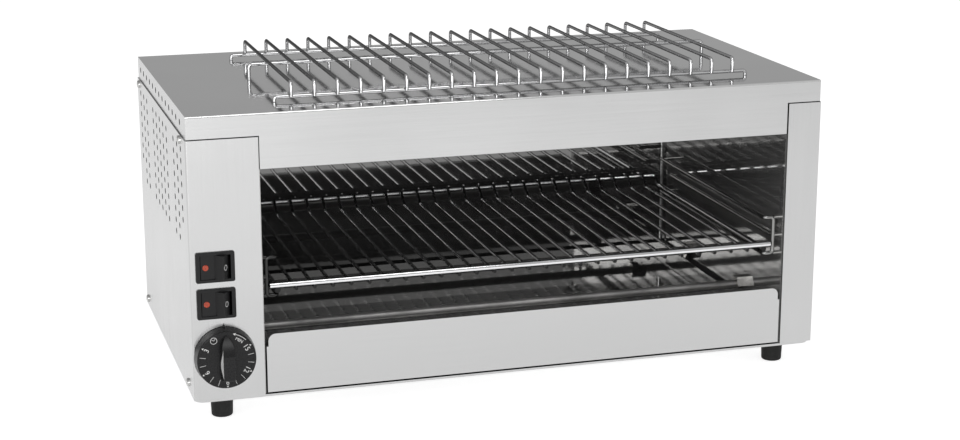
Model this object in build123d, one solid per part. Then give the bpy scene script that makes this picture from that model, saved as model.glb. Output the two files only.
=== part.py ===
from build123d import *
import math
import os

# Countertop open-front electric toaster: a wide stainless box on four rubber feet.
# +X is to the viewer's right, +Y to the back, +Z up. All sizes are millimetres.
# The origin is the middle of the footprint, on the surface that the feet stand on.

# Driving sizes of the cabinet
body_width = 545.0
body_depth = 285.0
foot_height = 20.0
pan_drop = 2.0
casing_height = 214.2
cover_edge = 19.0
sheet = 1.0
left_pillar = 57.8
right_pillar = 30.2
fascia_height = 45.2
lap = 8.0
panel_gap = 0.3
bend_radius = 1.5

# Levels and planes that follow from them
pan_z = foot_height
casing_z = pan_z + pan_drop
seam_z = casing_z + casing_height
top_z = seam_z + cover_edge
fascia_z = top_z - fascia_height
side_x = body_width / 2

# Knob and cable gland, the pieces that reach past the cabinet in front and behind
knob_gap = 1.0
knob_skirt = 9.5
knob_grip = 12.0
knob_reach = knob_gap + knob_skirt + knob_grip
gland_reach = 12.0

# The front face's place puts the whole object's middle on the origin
front_y = knob_reach - (body_depth + knob_reach + gland_reach) / 2
back_y = front_y + body_depth
open_left = -side_x + left_pillar
open_right = side_x - right_pillar

# Toasting chamber: its walls stand just inside the edges of the front opening
chamber_mid = (open_left + open_right) / 2
chamber_half = (open_right - open_left) / 2 - sheet
wall_front = front_y + 2 * sheet
wall_rear_gap = 9.0
wall_back = back_y - wall_rear_gap
pan_top = pan_z + sheet
ceiling_drop = 6.2
ceiling_z = seam_z - ceiling_drop
ceiling_flange = 10.0
reflector_flange = 10.0
reflector_bend = 2.0

# Ventilation holes in the sides
hole_d = 5.0
vent_pitch_z = 9.65
vent_first_y = 24.4
vent_rear_y = 20.0
vent_first_z = 10.9
vent_columns = 13
vent_pitch_y = (body_depth - vent_first_y - vent_rear_y) / (vent_columns - 1)
vent_rows = 9
vent_short_rows = 7
vent_blank_columns = (3, 9)
edge_hole_d = 5.2
edge_hole_first_y = 30.8
edge_hole_rear_y = 18.4
edge_hole_count = 13
edge_hole_pitch = (body_depth - edge_hole_first_y - edge_hole_rear_y) / (edge_hole_count - 1)

# Cabinet screws
screw_head_d = 7.0
screw_head_h = 2.2
screw_d = 4.0
screw_length = 8.0
hole_clearance = 0.1
side_screw_front = 29.0
side_screw_rear = 11.0
side_screw_low = 7.0
side_screw_top = 4.5
back_screw_inset = 6.5
back_screw_rise = [share * casing_height for share in (0.2, 0.5, 0.8)]
back_screw_spread = [share * body_width for share in (-0.24, 0.0, 0.24)]
return_width = 14.0
pan_flange = 16.0
pan_corner = 8.0

# Rubber feet
foot_d_top = 19.0
foot_d_bottom = 17.5
foot_edge = 1.5
foot_side = 26.0
foot_x = side_x - foot_side
foot_inset = 25.0
foot_bore_d = 5.2
foot_sink_d = 11.0
foot_sink = 10.0
foot_screw_d = 5.0
foot_head_d = 9.0
foot_head_h = 3.0
foot_nut_width = 8.0
foot_nut_h = 4.0

# Crumb tray and the guides it slides on
tray_gap = 1.2
tray_panel_bottom = 1.8
tray_panel_height = 49.5
tray_panel_corner = 6.0
tray_panel_step = 1.5
tray_panel_step_z = 39.0
tray_return = 8.0
tray_inset = 4.0
tray_height = 19.5
tray_back_gap = 6.0
guide_gap = 0.5
run_gap = 0.3
guide_shelf = 12.0
guide_rise = 3.2
guide_lip = 10.0
guide_foot = 8.0
guide_front = 12.0

# Heating rods
heater_d = 8.0
heater_front = 79.4
heater_low_rise = 32.7
heater_high_drop = 12.0
heater_out = 10.0
heater_hole_gap = 0.2
heater_nut_width = 15.0
heater_nut_h = 8.0
hex_chamfer = 0.6
bead_d = 11.0
bead_length = 7.0
bead_round = 1.2
pin_d = 2.5
pin_length = 6.0

# Wire guides for the toasting rack
guide_wire_d = 3.5
guide_wall_gap = 4.5
guide_inset = 13.0
guide_front_y = 11.0
guide_rear_gap = 35.0
guide_mid_rear_gap = 39.0
guide_level_low = 80.4
guide_level_pitch = 16.1
guide_bend = 3.0

# Toasting rack
rack_frame_d = 5.0
rack_rod_d = 3.0
rack_rods = 27
rack_side_gap = 0.3
rack_side_x = chamber_half - guide_inset - rack_side_gap
rack_bar_gap = 0.8
rack_rod_tip = 1.5
rack_bend_gap = 37.0
rack_tilt = 40.0
rack_rise = 16.0
rack_bend = 4.0
rack_back_set = 2.0
weld = 0.3

# Warming rack on top
top_wire_d = 3.0
top_rods = 21
top_rod_pitch = 19.27
top_rack_x = 12.8
top_rod_front = 38.3
top_rod_depth = 207.0
top_rod_height = 16.0
top_low_height = 4.0
top_low_reach = 13.4
top_mid_reach = 15.4
top_bend = 3.0
top_low_bend = 2.4

# Rocker switches
switch_x = 20.4
switch_high = 111.2
switch_low = 80.9
bezel_width = 31.4
bezel_height = 25.0
bezel_depth = 2.0
bezel_edge = 0.8
switch_width = 29.6
switch_height = 21.6
switch_depth = 26.0
switch_cut_gap = 0.2
rocker_pivot = 4.5
rocker_half = 10.8
rocker_left = 7.5
rocker_valley = 5.6
rocker_ridge = 10.8
rocker_ridge_x = 7.0
rocker_right = 4.6
rocker_back = 3.0
rocker_swing = 2.5
rocker_height = 19.6
rocker_gap = 0.4
rocker_edge = 0.6
rocker_tilt = 8.0
rocker_pin_d = 3.0
rocker_pin = 0.9
pin_clearance = 0.05
lens_d = 5.0
lens_depth = 1.2
lens_proud = 0.4
lens_offset = 7.0
blade_width = 6.3
blade_thick = 0.8
blade_length = 9.0
blade_pitch = 10.0

# Timer and its knob
timer_x = 25.7
timer_rise = 36.2
timer_size = 44.0
timer_depth = 32.0
timer_corner = 4.0
timer_boss_d = 10.0
timer_boss_out = 0.5
shaft_d = 6.0
shaft_flat = 2.0
shaft_in = 11.0
shaft_in_knob = 12.0
shaft_end_gap = 1.0
timer_screw_spread = 14.0
knob_d = 50.0
knob_face_d = 47.6
knob_edge = 1.0
knob_wall = 3.0
knob_hollow = 5.0
knob_hub_d = 14.0
grip_width = 11.0
grip_tip = 20.5
grip_tip_width = 2.0
grip_crest = 6.0
grip_neck = 12.0
grip_tail = 15.0
grip_low = 0.8
grip_bulge = 1.2
grip_taper = 4.0
grip_edge = 0.8

# Terminal block and cable gland at the back of the left side
block_length = 34.0
block_depth = 20.0
block_height = 15.0
block_step = 5.0
block_rear_gap = 71.0
block_screw_h = 2.0
block_poles = 3
block_screw_d = 4.0
gland_rise = 30.0
gland_thread_d = 16.0
gland_bore_d = 8.0
gland_hex = 21.0
gland_hex_h = 5.0
gland_cap_d = 18.0
gland_round = 2.0
gland_inside = 9.0
gland_nut_h = 4.0
slot_count = 12
slot_pitch = 16.0
slot_width = 4.0
slot_length = 22.0
slot_drop = 30.0

side_room_mid = (-side_x + sheet + open_left) / 2


def block(x0, x1, y0, y1, z0, z1):
    """Box between two corners."""
    middle = Pos((x0 + x1) / 2, (y0 + y1) / 2, (z0 + z1) / 2)
    return middle * Box(x1 - x0, y1 - y0, z1 - z0)


def along_x(x, y, z, radius, length):
    """Cylinder along +X from the point."""
    return Pos(x + length / 2, y, z) * Rot(0, 90, 0) * Cylinder(radius, length)


def along_y(x, y, z, radius, length):
    """Cylinder along +Y from the point."""
    return Pos(x, y + length / 2, z) * Rot(90, 0, 0) * Cylinder(radius, length)


def along_z(x, y, z, radius, length):
    """Cylinder along +Z from the point."""
    return Pos(x, y, z + length / 2) * Cylinder(radius, length)


def bent_wire(points, bend, diameter):
    """Round wire with the same bend at each corner."""
    path = FilletPolyline(*points, radius=bend)
    start = Plane(origin=path @ 0, z_dir=path % 0)
    return sweep(start * Circle(diameter / 2), path=path)


def mirror_chamber(shape):
    """The same piece on the other side of the chamber."""
    return mirror(shape, about=Plane.YZ.offset(chamber_mid))


def joined(pieces):
    """One solid of pieces that are welded together."""
    return pieces[0].fuse(*pieces[1:])


def hexagon(width, height):
    """Hexagonal prism with two flats facing left and right, standing on z = 0."""
    shape = RegularPolygon(width / 2, 6, major_radius=False, rotation=30)
    return extrude(shape, height)


def write(name, shape):
    """Save one named piece."""
    shape.label = name
    export_step(shape, "parts/" + name + ".step")


# Cabinet screw, its head's seat on z = 0 and its shank pointing down
def pan_screw(head_d=screw_head_d, head_h=screw_head_h, shank_d=screw_d, length=screw_length):
    rim = 0.45 * head_h
    crown_r = ((head_d / 2) ** 2 + (head_h - rim) ** 2) / (2 * (head_h - rim))
    spread = math.degrees(math.asin(head_d / 2 / crown_r))
    outline = Polyline(
        (0, head_h), (0, -length), (shank_d / 2, -length), (shank_d / 2, 0), (head_d / 2, 0), (head_d / 2, rim)
    )
    crown = CenterArc((0, head_h - crown_r), crown_r, 90 - spread, spread)
    return revolve(Plane.XZ * make_face([outline, crown]), axis=Axis.Z)


SCREW = pan_screw()

side_screw_places = [
    (front_y + side_screw_front, casing_z + side_screw_low),
    (back_y - side_screw_rear, casing_z + side_screw_low),
    (front_y + side_screw_front, seam_z - side_screw_top),
    (back_y - side_screw_rear, seam_z - side_screw_top),
]
back_screw_places = (
    [(side * (side_x - back_screw_inset), casing_z + rise) for side in (-1, 1) for rise in back_screw_rise]
    + [(x, seam_z - side_screw_top) for x in back_screw_spread]
    + [(x, casing_z + side_screw_low) for x in back_screw_spread]
)


def side_screw_holes():
    radius = screw_d / 2 + hole_clearance
    length = body_width + 2 * sheet
    return [along_x(-side_x - sheet, y, z, radius, length) for y, z in side_screw_places]


def back_screw_holes():
    radius = screw_d / 2 + hole_clearance
    length = screw_length + sheet
    return [along_y(x, back_y - screw_length, z, radius, length) for x, z in back_screw_places]


# Top cover: one folded sheet with the fascia at the front and turned-down edges
def top_cover():
    half = side_x - sheet
    front, back = front_y + sheet, back_y - sheet
    shell = block(-half, half, front, back, fascia_z, top_z)
    rounded = shell.edges().filter_by(Axis.X).group_by(Axis.Z)[-1].sort_by(Axis.Y)[0]
    shell = fillet(rounded, bend_radius)
    inside = block(-half + sheet, half - sheet, front + sheet, back - sheet, fascia_z - 1, top_z - sheet)
    below = block(-side_x, side_x, front + sheet, back_y, fascia_z - 1, seam_z - lap)
    ends = [front_y + edge_hole_first_y + i * edge_hole_pitch for i in range(edge_hole_count)]
    level = seam_z + cover_edge / 2
    holes = [along_x(-side_x, y, level, edge_hole_d / 2, body_width) for y in ends]
    return shell - [inside, below] - holes - side_screw_holes() - back_screw_holes()


# Side casing: the side, its front pillar and the turned-in edges, from one sheet
def side_casing(side, pillar, inner_edge):
    outer = side * side_x
    turn = -side * sheet
    rear_in = outer - side * return_width
    front, rear = front_y, back_y - sheet
    plan = Polyline(
        (rear_in, rear),
        (outer, rear),
        (outer, front),
        (inner_edge, front),
        (inner_edge, front + return_width),
        (inner_edge - turn, front + return_width),
        (inner_edge - turn, front + sheet),
        (outer + turn, front + sheet),
        (outer + turn, rear - sheet),
        (rear_in, rear - sheet),
        close=True,
    )
    shell = Pos(0, 0, casing_z) * extrude(make_face(plan), casing_height)
    corner = shell.edges().filter_by(Axis.Z).sort_by_distance((outer, front, casing_z + casing_height / 2))[0]
    shell = fillet(corner, bend_radius)
    fold_x = sorted((inner_edge, inner_edge - 2 * turn))
    rear_x = sorted((rear_in - side, outer + turn))
    under_fascia = block(*fold_x, front + sheet, front + 2 * return_width, fascia_z - panel_gap, seam_z + 1)
    over_pan = block(*rear_x, rear - 2 * sheet, back_y, casing_z - 1, pan_z + pan_flange + 1)
    under_cover = block(*rear_x, rear - 2 * sheet, back_y, seam_z - lap - panel_gap, seam_z + 1)
    return shell - [under_fascia, over_pan, under_cover] - vents(side) - side_screw_holes() - back_screw_holes()


def vents(side):
    holes = []
    for column in range(vent_columns):
        if column in vent_blank_columns:
            continue
        rows = vent_short_rows if column in (0, vent_columns - 1) else vent_rows
        y = front_y + vent_first_y + column * vent_pitch_y
        for row in range(rows):
            z = seam_z - vent_first_z - row * vent_pitch_z
            holes.append(along_x(side * side_x - 2 * sheet, y, z, hole_d / 2, 4 * sheet))
    return holes


switch_mid = -side_x + switch_x
switch_levels = {"upper": casing_z + switch_high, "lower": casing_z + switch_low}
timer_mid = -side_x + timer_x
timer_level = casing_z + timer_rise


def left_casing():
    casing = side_casing(-1, left_pillar, open_left)
    cuts = []
    for level in switch_levels.values():
        half_w = switch_width / 2 + switch_cut_gap
        half_h = switch_height / 2 + switch_cut_gap
        cuts.append(
            block(switch_mid - half_w, switch_mid + half_w, front_y - 1, front_y + 2 * sheet,
                  level - half_h, level + half_h)
        )
    cuts.append(along_y(timer_mid, front_y - sheet, timer_level, timer_boss_d / 2 + hole_clearance, 3 * sheet))
    for side in (-1, 1):
        x = timer_mid + side * timer_screw_spread
        cuts.append(along_y(x, front_y - sheet, timer_level, screw_d / 2 + hole_clearance, 3 * sheet))
    return casing - cuts


def right_casing():
    return side_casing(1, right_pillar, open_right)


# Base pan: a shallow folded tray that the chamber stands in
def base_pan():
    half = side_x - sheet
    front, back = front_y + sheet, back_y - sheet
    outer = block(-half, half, front, back, pan_z, pan_z + pan_flange)
    outer = fillet(outer.edges().filter_by(Axis.Z), pan_corner)
    inner = block(-half + sheet, half - sheet, front + sheet, back - sheet, pan_top, pan_z + 2 * pan_flange)
    inner = fillet(inner.edges().filter_by(Axis.Z), pan_corner - sheet)
    mouth = block(open_left - 2 * sheet, open_right + 2 * sheet, front_y, wall_front + sheet, casing_z, 2 * top_z)
    feet = [along_z(x, y, pan_z - sheet, foot_bore_d / 2, 3 * sheet) for x, y in foot_places]
    return outer - [inner, mouth] - feet - side_screw_holes() - back_screw_holes()


foot_places = [(x, y) for y in (front_y + foot_inset, back_y - foot_inset) for x in (-foot_x, foot_x)]
foot_names = ["foot_front_left", "foot_front_right", "foot_rear_left", "foot_rear_right"]


def rubber_foot(x, y):
    profile = Polyline(
        (foot_bore_d / 2, foot_height),
        (foot_d_top / 2, foot_height),
        (foot_d_bottom / 2, 0),
        (foot_sink_d / 2, 0),
        (foot_sink_d / 2, foot_sink),
        (foot_bore_d / 2, foot_sink),
        close=True,
    )
    foot = revolve(Plane.XZ * make_face(profile), axis=Axis.Z)
    rim = foot.edges().filter_by(GeomType.CIRCLE).group_by(Axis.Z)[0].sort_by(SortBy.RADIUS)[-1]
    return Pos(x, y, 0) * fillet(rim, foot_edge)


def foot_screws():
    length = foot_height - foot_sink + sheet + foot_nut_h + 1
    screw = Rot(180, 0, 0) * pan_screw(foot_head_d, foot_head_h, foot_screw_d, length)
    return Compound(children=[Pos(x, y, foot_sink) * screw for x, y in foot_places])


def foot_nuts():
    nut = hexagon(foot_nut_width, foot_nut_h) - along_z(0, 0, -1, foot_bore_d / 2, foot_nut_h + 2)
    return Compound(children=[Pos(x, y, pan_top) * nut for x, y in foot_places])


# Back panel with its row of air slots and the hole for the cable gland
def back_panel():
    panel = block(-side_x, side_x, back_y - sheet, back_y, casing_z, seam_z)
    slot = Rot(90, 0, 0) * extrude(SlotOverall(slot_length, slot_width, rotation=90), 3 * sheet, both=True)
    first = chamber_mid - (slot_count - 1) * slot_pitch / 2
    slots = [Pos(first + i * slot_pitch, back_y, seam_z - slot_drop) * slot for i in range(slot_count)]
    radius = gland_thread_d / 2 + hole_clearance
    inlet = along_y(side_room_mid, back_y - 2 * sheet, gland_level, radius, 4 * sheet)
    return panel - slots - [inlet] - back_screw_holes()


gland_level = casing_z + gland_rise


# Chamber walls, reflector and ceiling, bright sheet
def heater_holes():
    radius = heater_d / 2 + heater_hole_gap
    return [along_x(-side_x, y, z, radius, body_width) for y, z in heater_places.values()]


heater_rear = (wall_front + wall_back) - (front_y + heater_front)
heater_places = {
    "lower_heater_front": (front_y + heater_front, casing_z + heater_low_rise),
    "lower_heater_rear": (heater_rear, casing_z + heater_low_rise),
    "upper_heater_front": (front_y + heater_front, ceiling_z - heater_high_drop),
    "upper_heater_rear": (heater_rear, ceiling_z - heater_high_drop),
}


def inner_wall(side):
    face = chamber_mid + side * chamber_half
    xs = sorted((face, face + side * sheet))
    return block(*xs, wall_front, wall_back, pan_top, ceiling_z) - heater_holes()


def rear_reflector():
    left, right = chamber_mid - chamber_half, chamber_mid + chamber_half
    folded = block(left, right, wall_back - reflector_flange, wall_back + sheet, pan_top, ceiling_z)
    folded = fillet(folded.edges().filter_by(Axis.Z).group_by(Axis.Y)[-1], reflector_bend + sheet)
    inside = block(left + sheet, right - sheet, wall_front, wall_back, pan_z, seam_z)
    inside = fillet(inside.edges().filter_by(Axis.Z).group_by(Axis.Y)[-1], reflector_bend)
    return folded - inside


def ceiling_panel():
    half = chamber_half + sheet
    left, right = chamber_mid - half, chamber_mid + half
    tall = block(left, right, wall_front, wall_back + sheet, ceiling_z, ceiling_z + ceiling_flange)
    above = ceiling_z + sheet
    return tall - block(left + sheet, right - sheet, front_y, back_y, above, above + ceiling_flange)


# Heating rod: a straight sheathed tube through both chamber walls
heater_x0 = chamber_mid - chamber_half - sheet - heater_out
heater_x1 = chamber_mid + chamber_half + sheet + heater_out


def heater(y, z):
    tube = along_x(heater_x0, y, z, heater_d / 2, heater_x1 - heater_x0)
    return fillet(tube.edges(), 0.1 * heater_d)


def heater_nuts(side):
    face = chamber_mid + side * chamber_half
    nut = hexagon(heater_nut_width, heater_nut_h)
    nut = chamfer(nut.faces().sort_by(Axis.Z)[-1].edges(), hex_chamfer)
    nut = nut - along_z(0, 0, -1, heater_d / 2 + heater_hole_gap, heater_nut_h + 2)
    turned = Rot(0, -side * 90, 0) * nut
    return Compound(children=[Pos(face, y, z) * turned for y, z in heater_places.values()])


def heater_beads(side):
    end = heater_x1 if side > 0 else heater_x0
    bead = along_z(0, 0, 0, bead_d / 2, bead_length)
    bead = fillet(bead.faces().sort_by(Axis.Z)[-1].edges(), bead_round)
    turned = Rot(0, side * 90, 0) * bead
    return Compound(children=[Pos(end, y, z) * turned for y, z in heater_places.values()])


def heater_pins(side):
    end = heater_x1 if side > 0 else heater_x0
    start = end + bead_length if side > 0 else end - bead_length - pin_length
    return Compound(children=[along_x(start, y, z, pin_d / 2, pin_length) for y, z in heater_places.values()])


# Crumb tray with its folded front, and the two strips that it slides on
tray_floor = pan_top + guide_rise + run_gap
tray_half = chamber_half - tray_inset


def crumb_tray():
    front = front_y
    panel_half = chamber_half - tray_gap
    left, right = chamber_mid - panel_half, chamber_mid + panel_half
    bottom = casing_z + tray_panel_bottom
    top = bottom + tray_panel_height
    step = bottom + tray_panel_step_z
    outline = Polyline(
        (left, bottom),
        (right, bottom),
        (right, step),
        (right - tray_panel_step, step),
        (right - tray_panel_step, top),
        (left + tray_panel_step, top),
        (left + tray_panel_step, step),
        (left, step),
        close=True,
    )
    face = make_face(outline)
    corners = face.vertices().group_by(Axis.Y)[-1]
    face = fillet(corners, tray_panel_corner)
    depth = tray_return + sheet
    solid = Pos(0, front + depth, 0) * Rot(90, 0, 0) * extrude(face, depth)
    hollow = Pos(0, front + depth, 0) * Rot(90, 0, 0) * extrude(offset(face, -sheet), tray_return)
    panel = solid - hollow
    panel = panel - block(left, right, front + sheet, front + 2 * depth, bottom - 1, tray_floor)
    back = wall_back - tray_back_gap
    low, high = chamber_mid - tray_half, chamber_mid + tray_half
    outer = block(low, high, front + sheet / 2, back, tray_floor, tray_floor + tray_height)
    outer = fillet(outer.edges().filter_by(Axis.Y).group_by(Axis.Z)[0], 2 * sheet)
    inner = block(low + sheet, high - sheet, front, back - sheet, tray_floor + sheet, top_z)
    inner = fillet(inner.edges().filter_by(Axis.Y).group_by(Axis.Z)[0], sheet)
    return panel + (outer - inner)


def tray_guide():
    lip = chamber_mid + tray_half + guide_gap
    shelf_top = pan_top + guide_rise
    inner = lip - guide_shelf
    profile = Polyline(
        (inner - guide_foot, pan_top),
        (inner + sheet, pan_top),
        (inner + sheet, shelf_top - sheet),
        (lip + sheet, shelf_top - sheet),
        (lip + sheet, shelf_top + guide_lip),
        (lip, shelf_top + guide_lip),
        (lip, shelf_top),
        (inner, shelf_top),
        (inner, pan_top + sheet),
        (inner - guide_foot, pan_top + sheet),
        close=True,
    )
    start = front_y + guide_front
    length = wall_back - panel_gap - start
    return Pos(0, start + length, 0) * Rot(90, 0, 0) * extrude(make_face(profile), length)


# Wire guide on the right chamber wall: two shelf wires in one bent wire, a middle wire and stays
rack_levels = [casing_z + guide_level_low + i * guide_level_pitch for i in range(3)]


def rack_guide():
    wall = chamber_mid + chamber_half
    post = wall - guide_wall_gap
    shelf = wall - guide_inset
    front = front_y + guide_front_y
    rear = back_y - guide_rear_gap
    low, middle, high = rack_levels
    shelves = bent_wire(
        [(wall, rear, low), (shelf, rear, low), (shelf, front, low), (post, front, low),
         (post, front, high), (shelf, front, high), (shelf, rear, high), (wall, rear, high)],
        guide_bend, guide_wire_d,
    )
    mid_rear = back_y - guide_mid_rear_gap
    rail = bent_wire(
        [(post, front, middle), (post, mid_rear, middle), (wall, mid_rear, middle)],
        guide_bend, guide_wire_d,
    )
    stays = [along_x(post, front, z, guide_wire_d / 2, guide_wall_gap) for z in rack_levels]
    return joined([shelves, rail] + stays)


# Toasting rack: a bent frame wire, a front bar on top of the rods, rods turned up at the back
rack_z = rack_levels[0] + guide_wire_d / 2 + run_gap + rack_frame_d / 2


def grill_rack():
    front = front_y + guide_front_y
    bend = back_y - rack_bend_gap
    run = rack_rise * math.cos(math.radians(rack_tilt))
    climb = rack_rise * math.sin(math.radians(rack_tilt))
    touch = (rack_frame_d + rack_rod_d) / 2 - weld
    shift = touch / math.sin(math.radians(rack_tilt))
    back, lift = bend + shift + run - rack_back_set, rack_z + climb - rack_back_set
    left, right = chamber_mid - rack_side_x, chamber_mid + rack_side_x
    start = front - rack_rod_tip
    frame = bent_wire(
        [(left, start, rack_z), (left, bend + shift, rack_z), (left, back, lift),
         (right, back, lift), (right, bend + shift, rack_z), (right, start, rack_z)],
        rack_bend, rack_frame_d,
    )
    bar_half = chamber_half - guide_wall_gap - guide_wire_d / 2 - rack_bar_gap
    bar_z = rack_z + touch
    bar = along_x(chamber_mid - bar_half, front, bar_z, rack_frame_d / 2, 2 * bar_half)
    bar = fillet(bar.edges(), 0.3 * rack_frame_d)
    pitch = 2 * rack_side_x / (rack_rods + 1)
    rod = bent_wire(
        [(0, front - rack_rod_tip, rack_z), (0, bend, rack_z), (0, bend + run, rack_z + climb)],
        rack_bend, rack_rod_d,
    )
    rods = [Pos(left + (i + 1) * pitch, 0, 0) * rod for i in range(rack_rods)]
    return joined([frame, bar] + rods)


# Warming rack: rods bent down at both ends onto two low wires, with a middle wire below them
def top_rack():
    foot = top_z + run_gap
    rod_z = top_z + top_rod_height
    low_z = top_z + top_low_height
    near = front_y + top_rod_front
    far = near + top_rod_depth
    first = top_rack_x - (top_rods - 1) * top_rod_pitch / 2
    rod = bent_wire([(0, near, low_z), (0, near, rod_z), (0, far, rod_z), (0, far, low_z)], top_bend, top_wire_d)
    rods = [Pos(first + i * top_rod_pitch, 0, 0) * rod for i in range(top_rods)]
    wires = []
    touch = top_wire_d - weld
    low_half = (top_rods - 1) * top_rod_pitch / 2 + top_low_reach
    for y in (near + touch, far - touch):
        ends = [(-low_half, foot), (-low_half, low_z), (low_half, low_z), (low_half, foot)]
        wires.append(bent_wire([(top_rack_x + x, y, z) for x, z in ends], top_low_bend, top_wire_d))
    mid_half = (top_rods - 1) * top_rod_pitch / 2 + top_mid_reach
    mid_z = rod_z - touch
    ends = [(-mid_half, foot), (-mid_half, mid_z), (mid_half, mid_z), (mid_half, foot)]
    middle = (near + far) / 2
    wires.append(bent_wire([(top_rack_x + x, middle, z) for x, z in ends], top_bend, top_wire_d))
    return joined(wires + rods)


# Rocker switch: housing with its bezel, the rocker on its two pins, its lens and blades.
# These are made round the pivot, with -Y to the front.
rocker_radius = math.hypot(rocker_half, rocker_left)
rocker_slope = (rocker_left - rocker_valley) / rocker_half


def switch_place(level):
    return Pos(switch_mid, front_y + rocker_pivot, level)


def switch_housing():
    front, rear = -rocker_pivot, switch_depth - rocker_pivot
    bezel = block(-bezel_width / 2, bezel_width / 2, front - bezel_depth, front, -bezel_height / 2, bezel_height / 2)
    bezel = fillet(bezel.edges().filter_by(Axis.Y), 2 * bezel_edge)
    bezel = fillet(bezel.faces().sort_by(Axis.Y)[0].edges(), bezel_edge)
    body = block(-switch_width / 2, switch_width / 2, front, rear, -switch_height / 2, switch_height / 2)
    pocket_half = rocker_height / 2 + rocker_gap / 2
    round_pocket = Cylinder(rocker_radius + rocker_gap, 2 * pocket_half)
    deep = rocker_back + rocker_swing
    round_pocket = round_pocket & block(-switch_width, switch_width, front, deep, -switch_height, switch_height)
    mouth_half = math.sqrt(rocker_radius ** 2 - (rocker_pivot + bezel_depth / 2) ** 2) + rocker_gap
    mouth = block(-mouth_half, mouth_half, front - 2 * bezel_depth, front, -pocket_half, pocket_half)
    pin_holes = Cylinder(rocker_pin_d / 2 + pin_clearance, switch_height + 2)
    return (bezel + body) - [round_pocket, mouth, pin_holes]


def rocker():
    wide = 2 * rocker_half
    high = rocker_valley + rocker_slope * wide
    outline = Polyline(
        (-wide, rocker_back),
        (rocker_half, rocker_back),
        (rocker_half, -rocker_right),
        (rocker_ridge_x, -rocker_ridge),
        (0, -rocker_valley),
        (-wide, -high),
        close=True,
    )
    section = make_face(outline) & Circle(rocker_radius)
    ridge = section.vertices().sort_by_distance((rocker_ridge_x, -rocker_ridge, 0))[0]
    section = fillet(ridge, rocker_edge)
    body = extrude(section, rocker_height / 2, both=True)
    pins = Cylinder(rocker_pin_d / 2, rocker_height + 2 * rocker_pin)
    socket = lens_place() * Pos(0, 0, -lens_depth) * Cylinder(
        lens_d / 2, 2 * lens_depth, align=(Align.CENTER, Align.CENTER, Align.MIN)
    )
    return Rot(0, 0, -rocker_tilt) * ((body + pins) - socket)


def lens_place():
    depth = rocker_valley + rocker_slope * lens_offset
    return Plane(origin=(-lens_offset, -depth, 0), z_dir=(rocker_slope, -1, 0)).location


def rocker_lens():
    radius = lens_d / 2 - pin_clearance
    height = lens_depth + lens_proud
    lens = Pos(0, 0, -lens_depth) * Cylinder(radius, height, align=(Align.CENTER, Align.CENTER, Align.MIN))
    lens = fillet(lens.edges().filter_by(GeomType.CIRCLE).sort_by(Axis.Z)[-1], 0.8 * lens_proud)
    return Rot(0, 0, -rocker_tilt) * (lens_place() * lens)


def switch_blades():
    rear = switch_depth - rocker_pivot
    half = blade_width / 2
    blades = []
    for level in switch_levels.values():
        for i in (-1, 0, 1):
            x = i * blade_pitch
            blade = block(x - blade_thick / 2, x + blade_thick / 2, rear, rear + blade_length, -half, half)
            blades.append(switch_place(level) * blade)
    return Compound(children=blades)


# Clockwork timer: a case behind the panel, its D-shaft and the knob
def timer_body():
    half = timer_size / 2
    front = front_y + sheet
    case = block(timer_mid - half, timer_mid + half, front, front + timer_depth, timer_level - half, timer_level + half)
    case = fillet(case.edges().filter_by(Axis.Y), timer_corner)
    boss = along_y(timer_mid, front_y - timer_boss_out, timer_level, timer_boss_d / 2, sheet + timer_boss_out)
    start = front_y - 2 * timer_boss_out
    end = front_y + shaft_in + shaft_end_gap
    bore = along_y(timer_mid, start, timer_level, shaft_d / 2 + pin_clearance, end - start)
    screws = [
        along_y(timer_mid + s * timer_screw_spread, front_y, timer_level, screw_d / 2 + hole_clearance, screw_length + 1)
        for s in (-1, 1)
    ]
    return (case + boss) - [bore] - screws


def timer_shaft():
    start = front_y - knob_gap - shaft_in_knob
    shaft = along_y(timer_mid, start, timer_level, shaft_d / 2, shaft_in_knob + knob_gap + shaft_in)
    flat = block(
        timer_mid - shaft_d, timer_mid + shaft_d, start - 1, front_y - knob_gap,
        timer_level + shaft_flat, timer_level + shaft_d,
    )
    return shaft - flat


def timer_screws():
    turned = Rot(90, 0, 0) * SCREW
    return Compound(
        children=[Pos(timer_mid + s * timer_screw_spread, front_y, timer_level) * turned for s in (-1, 1)]
    )


def knob_pointer():
    """The grip: a bar that narrows and slopes down to its tip, standing on z = 0 with the tip towards +Y."""
    half, tip = grip_width / 2, grip_tip_width / 2
    waist = ((half + tip + grip_bulge) / 2, (grip_neck + grip_tip) / 2)
    outline = [
        Polyline((-half, grip_neck), (-half, -grip_tail), (half, -grip_tail), (half, grip_neck)),
        ThreePointArc((half, grip_neck), waist, (tip, grip_tip)),
        Line((tip, grip_tip), (-tip, grip_tip)),
        ThreePointArc((-tip, grip_tip), (-waist[0], waist[1]), (-half, grip_neck)),
    ]
    bar = extrude(make_face(outline), knob_grip, taper=grip_taper)
    slope = ((grip_crest + grip_tip) / 2, (knob_grip + grip_low) / 2 + grip_bulge)
    profile = [
        Polyline(
            (grip_tip, grip_low), (grip_tip, 0), (-grip_tail, 0), (-grip_tail, knob_grip), (grip_crest, knob_grip)
        ),
        ThreePointArc((grip_crest, knob_grip), slope, (grip_tip, grip_low)),
    ]
    bar = bar & extrude(Plane.YZ * make_face(profile), grip_width, both=True)
    return fillet(bar.faces().filter_by(Plane.XY).sort_by(Axis.Z)[-1].edges(), grip_edge)


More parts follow.
